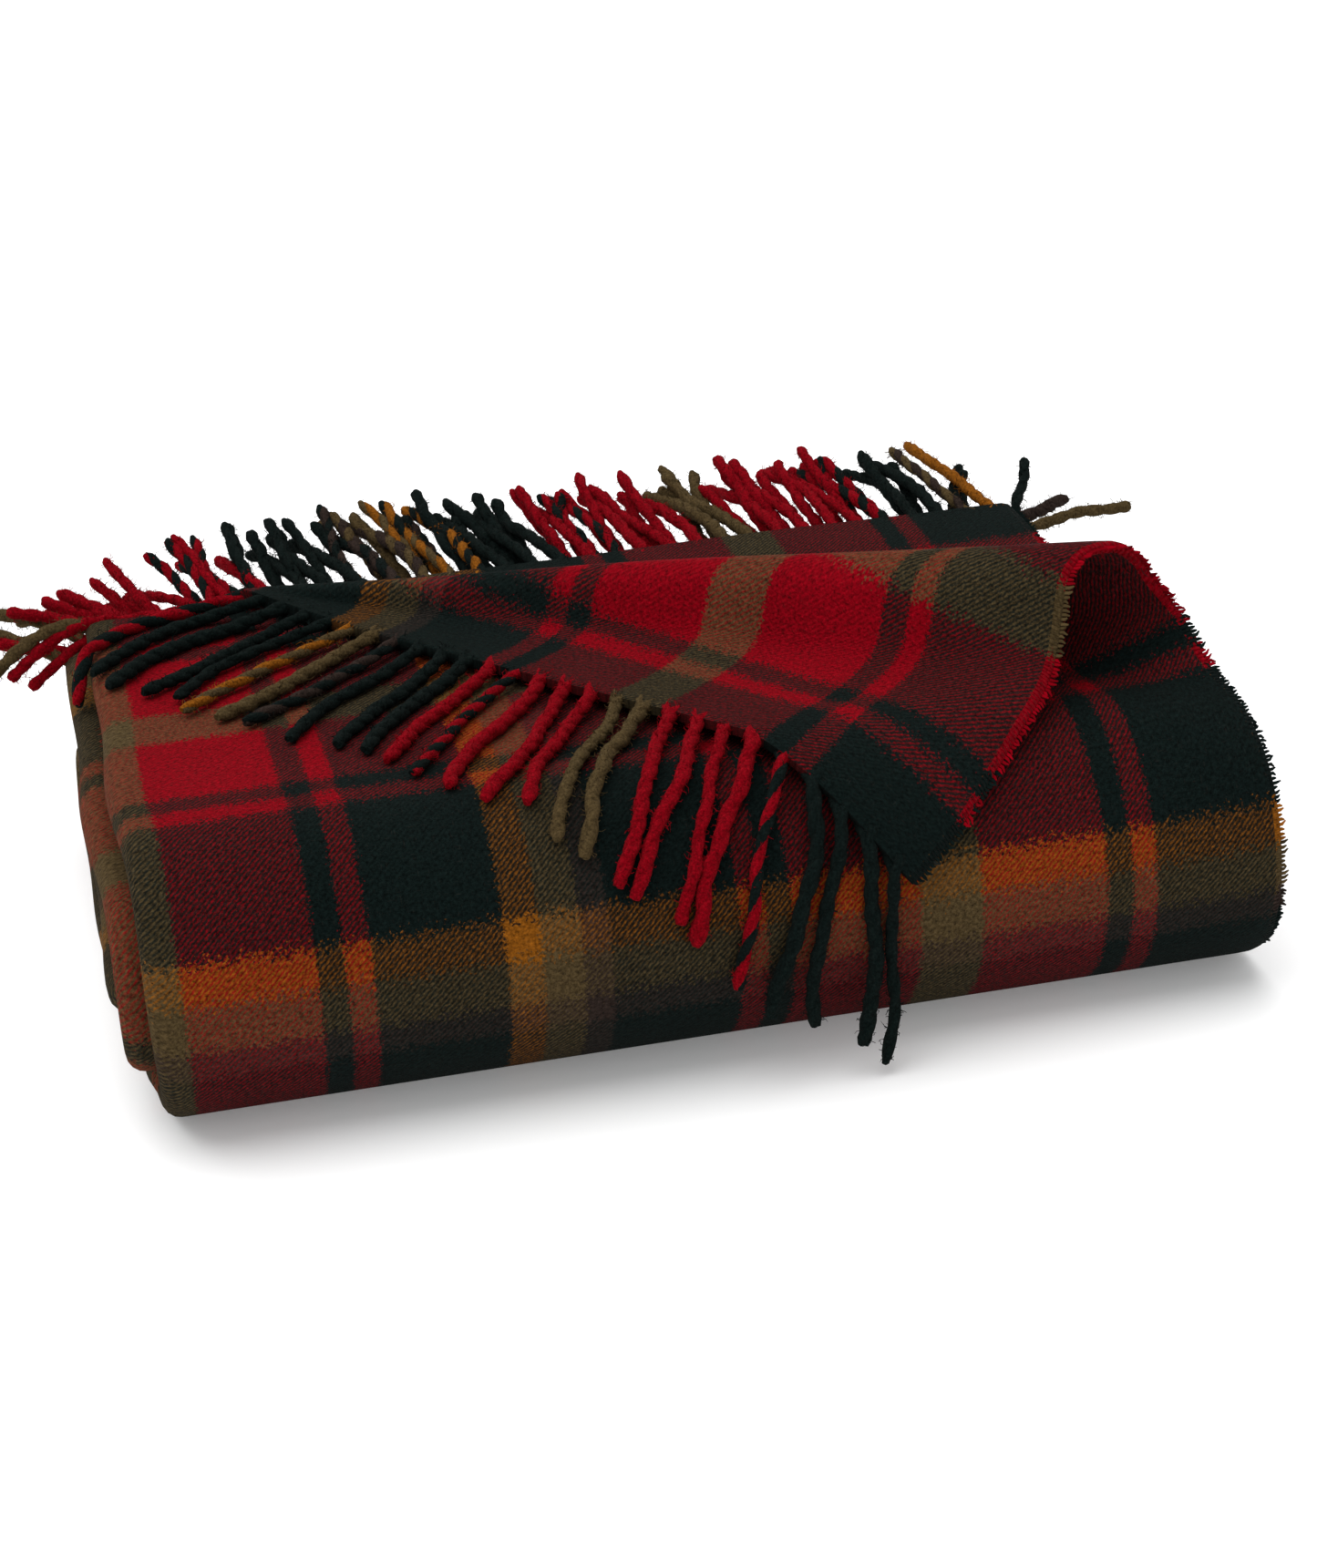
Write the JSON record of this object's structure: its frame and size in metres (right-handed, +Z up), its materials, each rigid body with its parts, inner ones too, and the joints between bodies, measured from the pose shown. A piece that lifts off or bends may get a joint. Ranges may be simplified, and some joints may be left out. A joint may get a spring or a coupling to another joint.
{
  "type": "folded throw blanket",
  "caption": "Folded wool throw in a red and green check, with a rolled front edge, twisted fringes and its top corner turned back.",
  "frame": {"origin": "middle of the flat stretch of cloth that rests on the table", "axes": "+X along the front roll from the folded left edge to the selvedges, +Y from the front roll to the fringed ends, +Z up"},
  "size_m": [0.4234, 0.3401, 0.1373],
  "materials": {
    "cloth": "brushed woollen twill in a large red, bottle green, gold, taupe and dark brown check",
    "selvedge": "woven edge band with small weft loops",
    "fringe": "two-ply twisted wool tassels in the colours of the warp stripes"
  },
  "bodies": {
    "folded_throw": {"bottom_layer_a": "cloth", "bottom_layer_b": "cloth", "bottom_layer_c": "cloth", "bottom_layer_d": "cloth", "bottom_selvedges": "selvedge", "bottom_left_folds": "cloth", "middle_layer_a": "cloth", "middle_layer_b": "cloth", "middle_layer_c": "cloth", "middle_layer_d": "cloth", "middle_selvedges": "selvedge", "middle_left_folds": "cloth", "top_layer_b": "cloth", "top_layer_c": "cloth", "top_layer_d": "cloth", "top_selvedges": "selvedge", "top_left_folds": "cloth", "front_roll_a": "cloth", "front_roll_b": "cloth", "front_roll_c": "cloth", "front_roll_d": "cloth", "front_roll_selvedges": "selvedge", "front_roll_left_folds": "cloth", "back_roll_a": "cloth", "back_roll_b": "cloth", "back_roll_c": "cloth", "back_roll_d": "cloth", "back_roll_selvedges": "selvedge", "back_roll_left_folds": "cloth", "half_fold_outer": "cloth", "half_fold_inner": "cloth", "top_layer_a": "cloth", "top_selvedge_a": "selvedge", "corner_crease": "cloth", "fringe_a": "fringe", "fringe_b": "fringe", "fringe_c": "fringe", "fringe_d": "fringe"},
    "turned_corner": {"corner_flap": "cloth", "corner_selvedge": "selvedge", "corner_fringe": "fringe"}
  },
  "joints": [
    {"name": "corner_turn", "type": "hinge", "parent": "folded_throw", "child": "turned_corner", "pos_m": [0.025, 0.01695, 0.11177], "axis": [-0.8863, 0.4588, -0.0629], "range_deg": [0, 110]}
  ]
}
